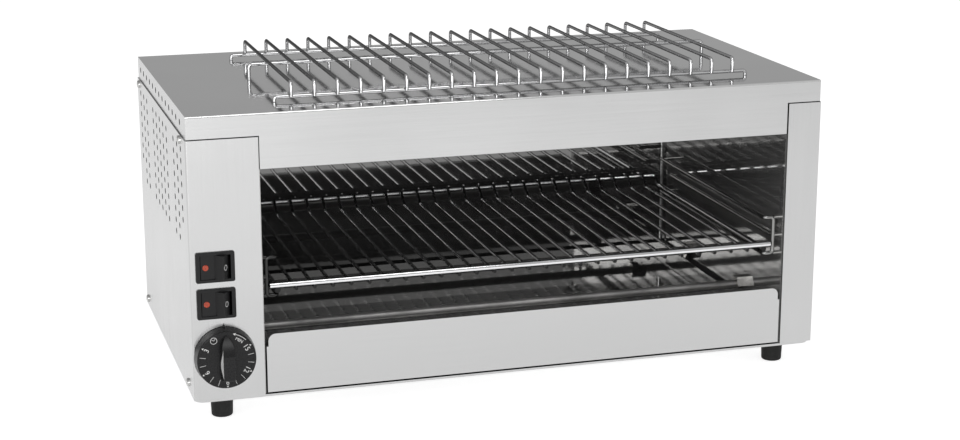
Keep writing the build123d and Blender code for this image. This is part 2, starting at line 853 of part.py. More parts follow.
def timer_knob():
    back_r, face_r = knob_d / 2, knob_face_d / 2
    hub = knob_hub_d / 2
    profile = Polyline(
        (0, knob_skirt), (face_r, knob_skirt), (back_r, 0), (back_r - knob_wall, 0),
        (back_r - knob_wall, knob_hollow), (hub, knob_hollow), (hub, 0), (0, 0), close=True,
    )
    body = revolve(Plane.XZ * make_face(profile), axis=Axis.Z)
    rim = body.edges().filter_by(GeomType.CIRCLE).group_by(Axis.Z)[-1].sort_by(SortBy.RADIUS)[-1]
    body = fillet(rim, knob_edge)
    grip = Pos(0, 0, knob_skirt) * knob_pointer()
    bore = Circle(shaft_d / 2 + pin_clearance) - Pos(0, shaft_flat + pin_clearance + shaft_d / 2) * Rectangle(
        2 * shaft_d, shaft_d
    )
    hole = Pos(0, 0, -1) * extrude(bore, shaft_in_knob + 2)
    knob = (body + grip) - hole
    return Pos(timer_mid, front_y - knob_gap, timer_level) * Rot(90, 0, 0) * knob


# Terminal block on the pan, and the cable gland with its lock nut
def terminal_block():
    x0, x1 = side_room_mid - block_length / 2, side_room_mid + block_length / 2
    y0, y1 = back_y - block_rear_gap, back_y - block_rear_gap + block_depth
    base = block(x0, x1, y0, y1, pan_top, pan_top + block_height)
    ledges = [
        block(x0 - 1, x1 + 1, y0 - 1, y0 + block_step, pan_top + block_height - block_step, top_z),
        block(x0 - 1, x1 + 1, y1 - block_step, y1 + 1, pan_top + block_height - block_step, top_z),
    ]
    return base - ledges


def terminal_screws():
    pitch = block_length / block_poles
    first = side_room_mid - pitch
    seat = pan_top + block_height - block_step
    head = along_z(0, 0, 0, block_screw_d / 2, block_screw_h)
    near = back_y - block_rear_gap
    rows = (near + block_step / 2, near + block_depth - block_step / 2)
    return Compound(children=[Pos(first + i * pitch, y, seat) * head for y in rows for i in range(block_poles)])


def cable_gland():
    thread = along_z(0, 0, -sheet - gland_inside, gland_thread_d / 2, gland_inside + sheet)
    flange = hexagon(gland_hex, gland_hex_h)
    flange = chamfer(flange.faces().sort_by(Axis.Z)[-1].edges(), hex_chamfer)
    cap = along_z(0, 0, gland_hex_h, gland_cap_d / 2, gland_reach - gland_hex_h)
    cap = fillet(cap.faces().sort_by(Axis.Z)[-1].edges(), gland_round)
    bore = along_z(0, 0, -2 * gland_inside, gland_bore_d / 2, 4 * gland_inside)
    gland = joined([thread, flange, cap]) - bore
    return Pos(side_room_mid, back_y, gland_level) * Rot(-90, 0, 0) * gland


def gland_nut():
    nut = hexagon(gland_hex, gland_nut_h) - along_z(0, 0, -1, gland_thread_d / 2 + pin_clearance, gland_nut_h + 2)
    return Pos(side_room_mid, back_y - sheet - gland_nut_h, gland_level) * Rot(-90, 0, 0) * nut


def side_screws(side):
    turned = Rot(0, side * 90, 0) * SCREW
    return Compound(children=[Pos(side * side_x, y, z) * turned for y, z in side_screw_places])


def back_screws():
    turned = Rot(-90, 0, 0) * SCREW
    return Compound(children=[Pos(x, back_y, z) * turned for x, z in back_screw_places])


os.makedirs("parts", exist_ok=True)

write("top_cover", top_cover())
write("left_casing", left_casing())
write("right_casing", right_casing())
write("base_pan", base_pan())
write("back_panel", back_panel())
write("left_inner_wall", inner_wall(-1))
write("right_inner_wall", inner_wall(1))
write("rear_reflector", rear_reflector())
write("ceiling_panel", ceiling_panel())
write("crumb_tray", crumb_tray())
write("tray_guide_right", tray_guide())
write("tray_guide_left", mirror_chamber(tray_guide()))
write("rack_guide_right", rack_guide())
write("rack_guide_left", mirror_chamber(rack_guide()))
write("grill_rack", grill_rack())
write("top_rack", top_rack())
for name, (y, z) in heater_places.items():
    write(name, heater(y, z))
for name, side in (("left", -1), ("right", 1)):
    write("heater_nuts_" + name, heater_nuts(side))
    write("heater_beads_" + name, heater_beads(side))
    write("heater_pins_" + name, heater_pins(side))
    write("side_screws_" + name, side_screws(side))
for name, (x, y) in zip(foot_names, foot_places):
    write(name, rubber_foot(x, y))
write("foot_screws", foot_screws())
write("foot_nuts", foot_nuts())
write("back_screws", back_screws())
for name, level in switch_levels.items():
    write("switch_housing_" + name, switch_place(level) * switch_housing())
    write("rocker_" + name, switch_place(level) * rocker())
    write("rocker_lens_" + name, switch_place(level) * rocker_lens())
write("switch_blades", switch_blades())
write("timer_body", timer_body())
write("timer_shaft", timer_shaft())
write("timer_screws", timer_screws())
write("timer_knob", timer_knob())
write("terminal_block", terminal_block())
write("terminal_screws", terminal_screws())
write("cable_gland", cable_gland())
write("gland_nut", gland_nut())
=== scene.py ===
import math

import bmesh
import bpy
from mathutils import Matrix, Vector


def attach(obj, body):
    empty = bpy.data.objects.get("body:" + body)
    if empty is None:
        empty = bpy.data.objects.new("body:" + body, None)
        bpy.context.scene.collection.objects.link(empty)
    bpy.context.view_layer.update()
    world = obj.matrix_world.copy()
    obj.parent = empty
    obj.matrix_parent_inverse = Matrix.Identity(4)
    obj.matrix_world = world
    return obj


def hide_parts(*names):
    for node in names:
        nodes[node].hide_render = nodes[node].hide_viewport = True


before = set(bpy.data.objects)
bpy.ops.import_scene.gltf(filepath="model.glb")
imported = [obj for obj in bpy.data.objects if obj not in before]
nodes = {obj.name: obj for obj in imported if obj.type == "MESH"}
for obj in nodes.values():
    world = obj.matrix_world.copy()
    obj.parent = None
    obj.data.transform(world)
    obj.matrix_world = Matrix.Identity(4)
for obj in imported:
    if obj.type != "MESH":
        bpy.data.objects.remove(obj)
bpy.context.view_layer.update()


# Outer cabinet. Two side casings with the front pillars, the cover with its fascia, the pan and the back
# are folded from 1 mm stainless sheet with a fine ground finish, and pan-head screws hold them together.
sheet_colour = (0.596, 0.597, 0.597)
sheet_roughness = (0.17, 0.25)
cover_roughness = (0.06, 0.11)
# painted highlight: the cover's front fold is painted white
fold_highlight_colour = (1.0, 1.0, 1.0)
fold_roughness = 0.12
# painted shade: near-black for faces that look into the cabinet, the punched holes' walls and the pillar
# seams
painted_shade_colour = (0.03, 0.03, 0.03)
cloud_scale = 9.0
cloud_share = 0.03
grain_lines = 900.0
grain_stretch = 14.0
grain_detail = 3.0
grain_depth = 0.05
noise_low, noise_high = 0.3, 0.7
cabinet_middle = (0.0, 0.005, 0.138)
inward_limit = -0.02
level_limit = 0.9
front_limit = -0.9
punched_x = 0.2709
punched_middle_y, punched_y = 0.005, 0.130
punched_middle_z, punched_z = 0.176, 0.0755
edge_on_limit = 0.5
fold_y = -0.134
fold_limits = (0.1, 0.98)
opening_middle = 0.0138
opening_half = 0.2275
seam_y = -0.1368
seam_low, seam_high = 0.205, 0.2370


def new_finish(name, colour, metallic, roughness):
    """A material whose shader holds these plain values, its node tree and the shader."""
    material = bpy.data.materials.new(name)
    material.use_nodes = True
    shader = material.node_tree.nodes["Principled BSDF"]
    shader.inputs["Base Color"].default_value = (*colour, 1)
    shader.inputs["Metallic"].default_value = metallic
    shader.inputs["Roughness"].default_value = roughness
    return material, material.node_tree, shader


def feed(tree, value, socket):
    """Links a value to a socket, or sets it there where it is a plain number or colour."""
    if isinstance(value, bpy.types.NodeSocket):
        tree.links.new(value, socket)
    elif isinstance(value, tuple):
        socket.default_value = (*value, 1)
    else:
        socket.default_value = value


def worked(tree, operation, *values):
    """The result of one sum on the surface's values or on plain numbers."""
    step = tree.nodes.new("ShaderNodeMath")
    step.operation = operation
    for value, socket in zip(values, step.inputs):
        feed(tree, value, socket)
    return step.outputs["Value"]


def noise_at(tree, scale, detail=2.0):
    """Noise on the piece's own metres, drawn out where one of three scales is small."""
    place = tree.nodes.new("ShaderNodeTexCoord")
    mapping = tree.nodes.new("ShaderNodeMapping")
    mapping.inputs["Scale"].default_value = scale if isinstance(scale, tuple) else (scale,) * 3
    noise = tree.nodes.new("ShaderNodeTexNoise")
    noise.inputs["Scale"].default_value = 1.0
    noise.inputs["Detail"].default_value = detail
    tree.links.new(place.outputs["Object"], mapping.inputs["Vector"])
    tree.links.new(mapping.outputs["Vector"], noise.inputs["Vector"])
    return noise.outputs["Fac"]


def spread(tree, value, low, high):
    """The noise's middle range, stretched between two values."""
    ranged = tree.nodes.new("ShaderNodeMapRange")
    ranged.inputs["From Min"].default_value = noise_low
    ranged.inputs["From Max"].default_value = noise_high
    ranged.inputs["To Min"].default_value = low
    ranged.inputs["To Max"].default_value = high
    tree.links.new(value, ranged.inputs["Value"])
    return ranged.outputs["Result"]


def between(tree, factor, first, second, kind="FLOAT"):
    """A value between two, by the factor."""
    mix = tree.nodes.new("ShaderNodeMix")
    mix.data_type = kind
    for value, label in ((factor, "Factor"), (first, "A"), (second, "B")):
        feed(tree, value, mix.inputs[label])
    return mix.outputs["Result"]


def shade_of(tree, factor, first, second):
    """A colour between two, by the factor."""
    return between(tree, factor, first, second, "RGBA")


def patched(tree, noise, dark, light):
    """A colour between two, in the patches of a noise."""
    return shade_of(tree, spread(tree, noise, 0, 1), dark, light)


def scaled(colour, share):
    return tuple(share * part for part in colour)


def clouded(tree, noise, colour, share):
    """The colour, a share darker and lighter in the patches of a noise."""
    return patched(tree, noise, scaled(colour, 1 - share), scaled(colour, 1 + share))


def raise_by(tree, shader, height, strength, distance=0.0001):
    """Bump on the shader from a height."""
    bump = tree.nodes.new("ShaderNodeBump")
    bump.inputs["Strength"].default_value = strength
    bump.inputs["Distance"].default_value = distance
    tree.links.new(height, bump.inputs["Height"])
    tree.links.new(bump.outputs["Normal"], shader.inputs["Normal"])


def surface_parts(tree):
    """The place on the piece and the surface's normal, each as its X, Y and Z."""
    place = tree.nodes.new("ShaderNodeTexCoord").outputs["Object"]
    normal = tree.nodes.new("ShaderNodeNewGeometry").outputs["Normal"]
    parts = []
    for vector in (place, normal):
        split = tree.nodes.new("ShaderNodeSeparateXYZ")
        tree.links.new(vector, split.inputs["Vector"])
        parts.append(split.outputs)
    return parts


def off(tree, value, middle):
    """How far a value lies from its middle."""
    return worked(tree, "ABSOLUTE", worked(tree, "SUBTRACT", value, middle))


def within(tree, *ranges):
    """One where every value lies between its two limits; None is no limit."""
    inside = 1.0
    for value, low, high in ranges:
        for operation, limit in (("GREATER_THAN", low), ("LESS_THAN", high)):
            if limit is not None:
                inside = worked(tree, "MULTIPLY", inside, worked(tree, operation, value, limit))
    return inside


def in_punched_hole(tree, at, normal):
    """One on the walls of the holes punched in the two sides, which are painted dark as painted shade."""
    return within(
        tree,
        (off(tree, at["X"], 0.0), punched_x, None),
        (off(tree, at["Y"], punched_middle_y), None, punched_y),
        (off(tree, at["Z"], punched_middle_z), None, punched_z),
        (off(tree, normal["X"], 0.0), None, edge_on_limit),
    )


def on_front_fold(tree, at, normal):
    """One on the rounded fold between the cover and its fascia, which gets a painted highlight."""
    return within(tree, (at["Y"], None, fold_y), (normal["Z"], *fold_limits))


def in_pillar_seam(tree, at, normal):
    """One on the strip of the fascia painted with the pillars' shadow, round the pillars' top corners."""
    return within(
        tree,
        (off(tree, at["X"], opening_middle), opening_half, None),
        (at["Y"], seam_y, fold_y),
        (at["Z"], seam_low, seam_high),
        (normal["Y"], None, front_limit),
    )


def looks_inward(tree, at, normal):
    """One where the surface looks towards the cabinet's middle, where the sheet gets painted shade."""
    along = 0.0
    for axis, middle in zip("XYZ", cabinet_middle):
        away = worked(tree, "SUBTRACT", at[axis], middle)
        along = worked(tree, "MULTIPLY_ADD", away, normal[axis], along)
    return worked(tree, "LESS_THAN", along, inward_limit)


def ground_sheet(name, grain):
    """Sheet with ground lines: the grain's three scales are lines per metre, low along the lines. The front
    fold gets a painted highlight; inward faces, punched holes and pillar seams get painted shade.
    """
    material, tree, shader = new_finish(name, sheet_colour, 1.0, sheet_roughness[0])
    at, normal = surface_parts(tree)
    lines = noise_at(tree, grain, grain_detail)
    level = worked(tree, "GREATER_THAN", normal["Z"], level_limit)
    fold = on_front_fold(tree, at, normal)
    flat = between(tree, level, spread(tree, lines, *sheet_roughness), spread(tree, lines, *cover_roughness))
    tree.links.new(between(tree, fold, flat, fold_roughness), shader.inputs["Roughness"])
    clouds = clouded(tree, noise_at(tree, cloud_scale), sheet_colour, cloud_share)
    # painted shade: inward faces, the punched holes' walls and the pillar seams are painted near-black
    dark = looks_inward(tree, at, normal)
    for shadow in (in_punched_hole, in_pillar_seam):
        dark = worked(tree, "MAXIMUM", dark, shadow(tree, at, normal))
    # painted highlight on the front fold
    painted_highlight = shade_of(tree, fold, clouds, fold_highlight_colour)
    tree.links.new(shade_of(tree, dark, painted_highlight, painted_shade_colour), shader.inputs["Base Color"])
    raise_by(tree, shader, lines, grain_depth)
    return material


def dress(material, *names):
    """Gives CAD nodes a finish."""
    for name in names:
        slots = nodes[name].data.materials
        slots.clear()
        slots.append(material)


lines_across = ground_sheet("sheet_across", (grain_stretch, grain_lines, grain_lines))
lines_upright = ground_sheet("sheet_upright", (grain_lines, grain_lines, grain_stretch))
dress(lines_across, "top_cover", "base_pan", "back_panel")
dress(lines_upright, "left_casing", "right_casing")


# Cabinet screws. Pan-head screws with a cross recess, of bright steel, hold the sides, the back and the
# timer; hexagon nuts and larger screws hold the rubber feet.
screw_colour = (0.62, 0.62, 0.61)
screw_roughness = (0.18, 0.34)
screw_patches = 600
screw_head = 0.0035
screw_rise = 0.0022
screw_steps = 24
screw_sharp = 0.6
crown_share = 0.55
crown_angles = (0.0, 0.4, 0.75, 1.1, 1.4, 1.571)
recess_arm = 0.0019
recess_half = 0.00035
recess_depth = 0.0014
shallower, taller = 0.98, 1.01
side_x = 0.2725
side_y = (-0.10825, 0.13675)
side_z = (0.029, 0.2317)


def link_all(tree, *pairs):
    for source, target in pairs:
        tree.links.new(source, target)


def tree_inputs(name, *sockets):
    """A Geometry Nodes tree with named inputs, its input node and its output node."""
    tree = bpy.data.node_groups.new(name, "GeometryNodeTree")
    tree.interface.new_socket("Geometry", in_out="INPUT", socket_type="NodeSocketGeometry")
    for label, kind in sockets:
        tree.interface.new_socket(label, in_out="INPUT", socket_type="NodeSocket" + kind)
    tree.interface.new_socket("Geometry", in_out="OUTPUT", socket_type="NodeSocketGeometry")
    return tree, tree.nodes.new("NodeGroupInput"), tree.nodes.new("NodeGroupOutput")


def end_with(tree, geometry, given, out):
    """Real instances, smooth shading and the material at the end of a tree."""
    real = tree.nodes.new("GeometryNodeRealizeInstances")
    smooth = tree.nodes.new("GeometryNodeSetShadeSmooth")
    finish = tree.nodes.new("GeometryNodeSetMaterial")
    link_all(
        tree,
        (geometry, real.inputs["Geometry"]),
        (real.outputs["Geometry"], smooth.inputs["Geometry"]),
        (smooth.outputs["Geometry"], finish.inputs["Geometry"]),
        (given.outputs["Material"], finish.inputs["Material"]),
        (finish.outputs["Geometry"], out.inputs["Geometry"]),
    )


def object_of(name, mesh):
    piece = bpy.data.objects.new(name, mesh)
    bpy.context.scene.collection.objects.link(piece)
    return piece


def finished_mesh(source):
    """The plain mesh that an object comes to, in place of the object."""
    evaluated = source.evaluated_get(bpy.context.evaluated_depsgraph_get())
    mesh = bpy.data.meshes.new_from_object(evaluated)
    bpy.data.objects.remove(source)
    return mesh


def grown(name, mesh, tree, values):
    """The mesh that the tree grows from a host mesh, as a plain mesh object."""
    host = object_of(name + "_host", mesh)
    modifier = host.modifiers.new("grow", "NODES")
    modifier.node_group = tree
    for item in tree.interface.items_tree:
        if item.in_out == "INPUT" and item.name in values:
            modifier[item.identifier] = values[item.name]
    return object_of(name, finished_mesh(host))


def host_mesh(name, places, edges=()):
    mesh = bpy.data.meshes.new(name)
    mesh.from_pydata([tuple(place) for place in places], edges, [])
    return mesh


def mesh_from(name, shape):
    """The bmesh as a mesh."""
    mesh = bpy.data.meshes.new(name)
    shape.to_mesh(mesh)
    shape.free()
    return mesh


def closed_mesh(name, shape):
    """The bmesh as a mesh whose faces all point outwards."""
    bmesh.ops.recalc_face_normals(shape, faces=shape.faces)
    return mesh_from(name, shape)


def turned_profile(name, profile, steps):
    """A closed turned shape round Z from (radius, height) points that start and end on the axis."""
    shape = bmesh.new()
    chain = [shape.verts.new((radius, 0, height)) for radius, height in profile]
    edges = [shape.edges.new(pair) for pair in zip(chain, chain[1:])]
    bmesh.ops.spin(
        shape, geom=chain + edges, cent=(0, 0, 0), axis=(0, 0, 1), angle=math.tau, steps=steps,
        use_duplicate=False,
    )
    bmesh.ops.remove_doubles(shape, verts=shape.verts, dist=1e-6)
    return closed_mesh(name, shape)


def box_into(shape, low, high):
    """Adds a closed box between two corners to a bmesh."""
    middle = [(a + b) / 2 for a, b in zip(low, high)]
    size = [b - a for a, b in zip(low, high)]
    matrix = Matrix.Translation(middle) @ Matrix.Diagonal((*size, 1))
    bmesh.ops.create_cube(shape, size=1.0, matrix=matrix)


def cross_screw(name):
    """One pan head on z = 0 with its cross recess cut in."""
    crown = [
        (screw_head * math.sin(a), screw_rise * (1 - crown_share + crown_share * math.cos(a)))
        for a in crown_angles
    ]
    head = object_of(name, turned_profile(name, crown + [(screw_head, 0.0), (0.0, 0.0)], screw_steps))
    shape = bmesh.new()
    top = 2 * screw_rise
    # the second arm is cut a little less deep and stands higher, so that the two share no flat face
    for x, y, depth, height in (
        (recess_arm, recess_half, recess_depth, top),
        (recess_half, recess_arm, shallower * recess_depth, taller * top),
    ):
        box_into(shape, (-x, -y, screw_rise - depth), (x, y, height))
    cutter = object_of("recess", mesh_from("recess", shape))
    cut = head.modifiers.new("cut", "BOOLEAN")
    cut.object = cutter
    cut.operation = "DIFFERENCE"
    cut.solver = "EXACT"
    cut.use_self = True
    mesh = finished_mesh(head)
    bpy.data.objects.remove(cutter)
    return object_of(name, mesh)


screw_tree, given, out = tree_inputs(
    "screw_heads", ("Screw", "Object"), ("Turn", "Vector"), ("Material", "Material")
)
pick = screw_tree.nodes.new("GeometryNodeObjectInfo")
place = screw_tree.nodes.new("GeometryNodeInstanceOnPoints")
link_all(
    screw_tree,
    (given.outputs["Screw"], pick.inputs["Object"]),
    (given.outputs["Geometry"], place.inputs["Points"]),
    (pick.outputs["Geometry"], place.inputs["Instance"]),
    (given.outputs["Turn"], place.inputs["Rotation"]),
)
end_with(screw_tree, place.outputs["Instances"], given, out)


def roughen(tree, shader, scale, roughness, detail=2.0):
    """Roughness between two values, in the patches of a noise."""
    tree.links.new(spread(tree, noise_at(tree, scale, detail), *roughness), shader.inputs["Roughness"])


screw_steel, tree, shader = new_finish("screw_steel", screw_colour, 1.0, 0.25)
roughen(tree, shader, screw_patches, screw_roughness)

master = cross_screw("screw_master")
for name, side in (("side_screws_left", -1), ("side_screws_right", 1)):
    host = host_mesh(name, [(side * side_x, y, z) for y in side_y for z in side_z])
    values = {"Screw": master, "Turn": (0, side * math.pi / 2, 0), "Material": screw_steel}
    heads = grown(name + "_heads", host, screw_tree, values)
    heads.data.set_sharp_from_angle(angle=screw_sharp)
    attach(heads, "cabinet")
bpy.data.objects.remove(master)
dress(screw_steel, "side_screws_left", "side_screws_right", "back_screws", "foot_screws", "foot_nuts")
dress(screw_steel, "timer_screws", "timer_shaft")


# Toasting chamber. The two side walls, the folded rear wall and the ceiling are bright sheet painted in
# dark shades of their own for the dark room they mirror, and they show the rods again as a dark mirror does.
# The crumb tray runs on two folded strips of the same sheet.
# painted shades: one sheet, painted darker for the rear wall and ceiling and lighter for the side walls
wall_colour = (0.19, 0.189, 0.187)
wall_roughness = (0.015, 0.04)
side_colour = (0.50, 0.497, 0.492)
side_roughness = (0.03, 0.07)
ceiling_colour = (0.15, 0.149, 0.148)
ceiling_roughness = (0.1, 0.2)
chamber_metal = 0.84
smear_scale = (14, 14, 30)
smear_detail = 4.0
smear_share = 0.15
roll_scale = (10, 500, 500)
roll_depth = 0.03
# painted highlight along the chamber's upright bends
bend_highlight_colour = (0.85, 0.85, 0.84)
bend_roughness = 0.2
bend_limit = 0.1
# painted shade on the side of the chamber walls that looks outwards
outward_shade_colour = (0.02, 0.02, 0.02)
outward_limit = 0.02


def chamber_sheet(name, colour, roughness):
    """Mirror sheet in painted shade, with a painted highlight on its upright bends and painted shade facing
    outwards.
    """
    material, tree, shader = new_finish(name, colour, chamber_metal, roughness[0])
    at, normal = surface_parts(tree)
    smears = noise_at(tree, smear_scale, smear_detail)
    corner = worked(tree, "ABSOLUTE", worked(tree, "MULTIPLY", normal["X"], normal["Y"]))
    bend = worked(tree, "GREATER_THAN", corner, bend_limit)
    outward = worked(tree, "GREATER_THAN", worked(tree, "MULTIPLY", at["X"], normal["X"]), outward_limit)
    smooth = spread(tree, smears, *roughness)
    tree.links.new(between(tree, bend, smooth, bend_roughness), shader.inputs["Roughness"])
    # painted highlight on the bends, painted shade on the outward side
    painted_highlight = shade_of(tree, bend, clouded(tree, smears, colour, smear_share), bend_highlight_colour)
    tree.links.new(shade_of(tree, outward, painted_highlight, outward_shade_colour), shader.inputs["Base Color"])
    raise_by(tree, shader, noise_at(tree, roll_scale), roll_depth)
    return material


rear_sheet = chamber_sheet("rear_sheet", wall_colour, wall_roughness)
dress(rear_sheet, "rear_reflector", "tray_guide_left", "tray_guide_right")
dress(chamber_sheet("side_sheet", side_colour, side_roughness), "left_inner_wall", "right_inner_wall")
dress(chamber_sheet("ceiling_sheet", ceiling_colour, ceiling_roughness), "ceiling_panel")


# Crumb tray. A tray folded from one sheet with a front panel welded to it. The panel is ground like the
# cabinet, and the tray behind it is bright sheet painted a darker shade, as in the chamber.
front_y = -0.13725
panel_back = 0.0012
# painted shade: the tray behind the panel is painted darker
tray_colour = (0.37, 0.368, 0.364)
tray_roughness = (0.02, 0.05)
tray_grain_depth = 0.04

tray_sheet, tree, shader = new_finish("tray_sheet", sheet_colour, 1.0, 0.2)
at, normal = surface_parts(tree)
behind = worked(tree, "GREATER_THAN", at["Y"], front_y + panel_back)
lines = noise_at(tree, (grain_stretch, grain_lines, grain_lines), grain_detail)
rough = between(tree, behind, spread(tree, lines, *sheet_roughness), spread(tree, lines, *tray_roughness))
link_all(
    tree,
    (shade_of(tree, behind, sheet_colour, tray_colour), shader.inputs["Base Color"]),
    (rough, shader.inputs["Roughness"]),
    (between(tree, behind, 1.0, chamber_metal), shader.inputs["Metallic"]),
)
raise_by(tree, shader, lines, tray_grain_depth)
dress(tray_sheet, "crumb_tray")


# Heating rods. Each is a straight steel-sheathed tube with a ceramic bead and a terminal pin at each end;
# hexagon nuts hold it in the chamber walls, and the heat has turned the sheath a patchy dull grey.
sheath_dark = (0.20, 0.198, 0.195)
sheath_light = (0.66, 0.65, 0.64)
sheath_metal = 0.7
sheath_roughness = (0.5, 0.34)
sheath_patches = (22, 60, 60)
sheath_grain = 900
sheath_grain_depth = 0.08
nut_colour = (0.62, 0.61, 0.59)
nut_roughness = (0.1, 0.24)
nut_patches = 300
bead_colour = (0.82, 0.80, 0.74)
bead_dark, bead_light = (0.76, 0.74, 0.67), (0.86, 0.84, 0.79)
bead_patches = 400
brass_colour = (0.72, 0.56, 0.27)
brass_roughness = (0.22, 0.4)
brass_patches = 500

sheath, tree, shader = new_finish("heater_sheath", sheath_light, sheath_metal, 0.4)
patches = noise_at(tree, sheath_patches, smear_detail)
tree.links.new(patched(tree, patches, sheath_dark, sheath_light), shader.inputs["Base Color"])
tree.links.new(spread(tree, patches, *sheath_roughness), shader.inputs["Roughness"])
raise_by(tree, shader, noise_at(tree, sheath_grain), sheath_grain_depth)
dress(sheath, "lower_heater_front", "lower_heater_rear", "upper_heater_front", "upper_heater_rear")

nut_steel, tree, shader = new_finish("nut_steel", nut_colour, 1.0, 0.16)
roughen(tree, shader, nut_patches, nut_roughness)
dress(nut_steel, "heater_nuts_left", "heater_nuts_right")

ceramic, tree, shader = new_finish("ceramic", bead_colour, 0.0, 0.2)
glaze = patched(tree, noise_at(tree, bead_patches), bead_dark, bead_light)
tree.links.new(glaze, shader.inputs["Base Color"])
dress(ceramic, "heater_beads_left", "heater_beads_right")

brass, tree, shader = new_finish("contact_brass", brass_colour, 1.0, 0.3)
roughen(tree, shader, brass_patches, brass_roughness)
dress(brass, "heater_pins_left", "heater_pins_right", "switch_blades", "terminal_screws")


# Toasting rack and its wire guides. Bright chromed wire, bent and welded: rods turned up at the back, welded
# on a frame wire, with a heavier bar across the front; the guides are welded to the chamber walls.
chrome_colour = (0.92, 0.92, 0.93)
chrome_roughness = (0.05, 0.15)
wire_patches = 160
wire_detail = 3.0
# painted shade: the wires' flat ends are painted near-black
end_shade_colour = (0.03, 0.03, 0.03)
cut_roughness = (0.5, 0.7)
cut_patches = 900
wire_sides = 14
bend_steps = 7
rod_wire = 0.003
frame_wire = 0.005
rack_rods = 27
rack_side = 0.2142
rack_front = -0.12625
rack_bend = 0.11075
rack_z = 0.10695
rod_seat = 0.0037
rod_tip = 0.0015
rod_radius = 0.004
slope = math.radians(40)
slope_length = 0.016
rear_inset = 0.002
bar_half = 0.22045
bar_radius = 0.001
rack_weld = (0.0013, 0.0014, 0.0013)
weld_back = 0.0008


def chromed(name, painted_edge_shade):
    """Bright wire, its colour painted darker towards the outline as a painted reflection of the dark room."""
    material, tree, shader = new_finish(name, (0.80, 0.80, 0.81), 1.0, 0.08)
    roughen(tree, shader, wire_patches, chrome_roughness, wire_detail)
    edge = tree.nodes.new("ShaderNodeLayerWeight")
    edge.inputs["Blend"].default_value = 0.5
    dark = (painted_edge_shade,) * 3
    tree.links.new(shade_of(tree, edge.outputs["Facing"], chrome_colour, dark), shader.inputs["Base Color"])
    shader.inputs["Specular Tint"].default_value = (*dark, 1)
    return material


# painted reflection: both racks are one chrome, each with its own painted edge shade
chrome = chromed("warming_rack_chrome", 0.25)
rack_chrome = chromed("toasting_rack_chrome", 0.50)

# the flat ends' near-black is painted shade
dark_end_finish, tree, shader = new_finish("shaded_wire_ends", end_shade_colour, 0.8, 0.6)
roughen(tree, shader, cut_patches, cut_roughness)

wire_tree, given, out = tree_inputs(
    "bent_wires", ("Bend", "Float"), ("Radius", "Float"), ("Copies", "Int"), ("Step", "Vector"),
    ("Material", "Material"),
)
to_curve = wire_tree.nodes.new("GeometryNodeMeshToCurve")
rounded = wire_tree.nodes.new("GeometryNodeFilletCurve")
rounded.mode = "POLY"
rounded.inputs["Count"].default_value = bend_steps
ring = wire_tree.nodes.new("GeometryNodeCurvePrimitiveCircle")
ring.inputs["Resolution"].default_value = wire_sides
tube = wire_tree.nodes.new("GeometryNodeCurveToMesh")
tube.inputs["Fill Caps"].default_value = True
row = wire_tree.nodes.new("GeometryNodeMeshLine")
repeat = wire_tree.nodes.new("GeometryNodeInstanceOnPoints")
link_all(
    wire_tree,
    (given.outputs["Geometry"], to_curve.inputs["Mesh"]),
    (to_curve.outputs["Curve"], rounded.inputs["Curve"]),
    (given.outputs["Bend"], rounded.inputs["Radius"]),
    (given.outputs["Radius"], ring.inputs["Radius"]),
    (rounded.outputs["Curve"], tube.inputs["Curve"]),
    (ring.outputs["Curve"], tube.inputs["Profile Curve"]),
    (given.outputs["Copies"], row.inputs["Count"]),
    (given.outputs["Step"], row.inputs["Offset"]),
    (row.outputs["Mesh"], repeat.inputs["Points"]),
    (tube.outputs["Mesh"], repeat.inputs["Instance"]),
)
end_with(wire_tree, repeat.outputs["Instances"], given, out)


def wires(name, runs, diameter, bend, copies=1, step=(0, 0, 0)):
    """Bent round wires along runs of corner points, repeated by a step."""
    places, edges = [], []
    for run in runs:
        first = len(places)
        places += run
        edges += [(first + i, first + i + 1) for i in range(len(run) - 1)]
    values = {"Bend": bend, "Radius": diameter / 2, "Copies": copies, "Step": step, "Material": chrome}
    return grown(name, host_mesh(name, places, edges), wire_tree, values)


weld_tree, given, out = tree_inputs("weld_spots", ("Size", "Vector"), ("Material", "Material"))
spot = weld_tree.nodes.new("GeometryNodeMeshIcoSphere")
spot.inputs["Radius"].default_value = 1.0
spot.inputs["Subdivisions"].default_value = 2
place = weld_tree.nodes.new("GeometryNodeInstanceOnPoints")
link_all(
    weld_tree,
    (given.outputs["Geometry"], place.inputs["Points"]),
    (spot.outputs["Mesh"], place.inputs["Instance"]),
    (given.outputs["Size"], place.inputs["Scale"]),
)
end_with(weld_tree, place.outputs["Instances"], given, out)


def welds(name, places, size):
    """Small spots of weld at the crossings of the wires."""
    return grown(name, host_mesh(name, places), weld_tree, {"Size": size, "Material": chrome})


def as_one(name, parts, finish, ends=None):
    """The parts' meshes in one object. A wire's flat end, which has many corners, may get its own finish."""
    shape = bmesh.new()
    for part in parts:
        shape.from_mesh(part.data)
        bpy.data.objects.remove(part)
    mesh = mesh_from(name, shape)
    mesh.materials.append(finish)
    if ends:
        mesh.materials.append(ends)
    for face in mesh.polygons:
        face.material_index = 1 if ends and len(face.vertices) > 4 else 0
    return object_of(name, mesh)


bar_z = rack_z + rod_seat
rod_y, rod_z = rack_bend + slope_length * math.cos(slope), rack_z + slope_length * math.sin(slope)
frame_shift = rod_seat / math.sin(slope)
bend_y, rear_y, rear_z = rack_bend + frame_shift, rod_y + frame_shift - rear_inset, rod_z - rear_inset
tip_y = rack_front - rod_tip
left, right = opening_middle - rack_side, opening_middle + rack_side
pitch = 2 * rack_side / (rack_rods + 1)
first_x = left + pitch

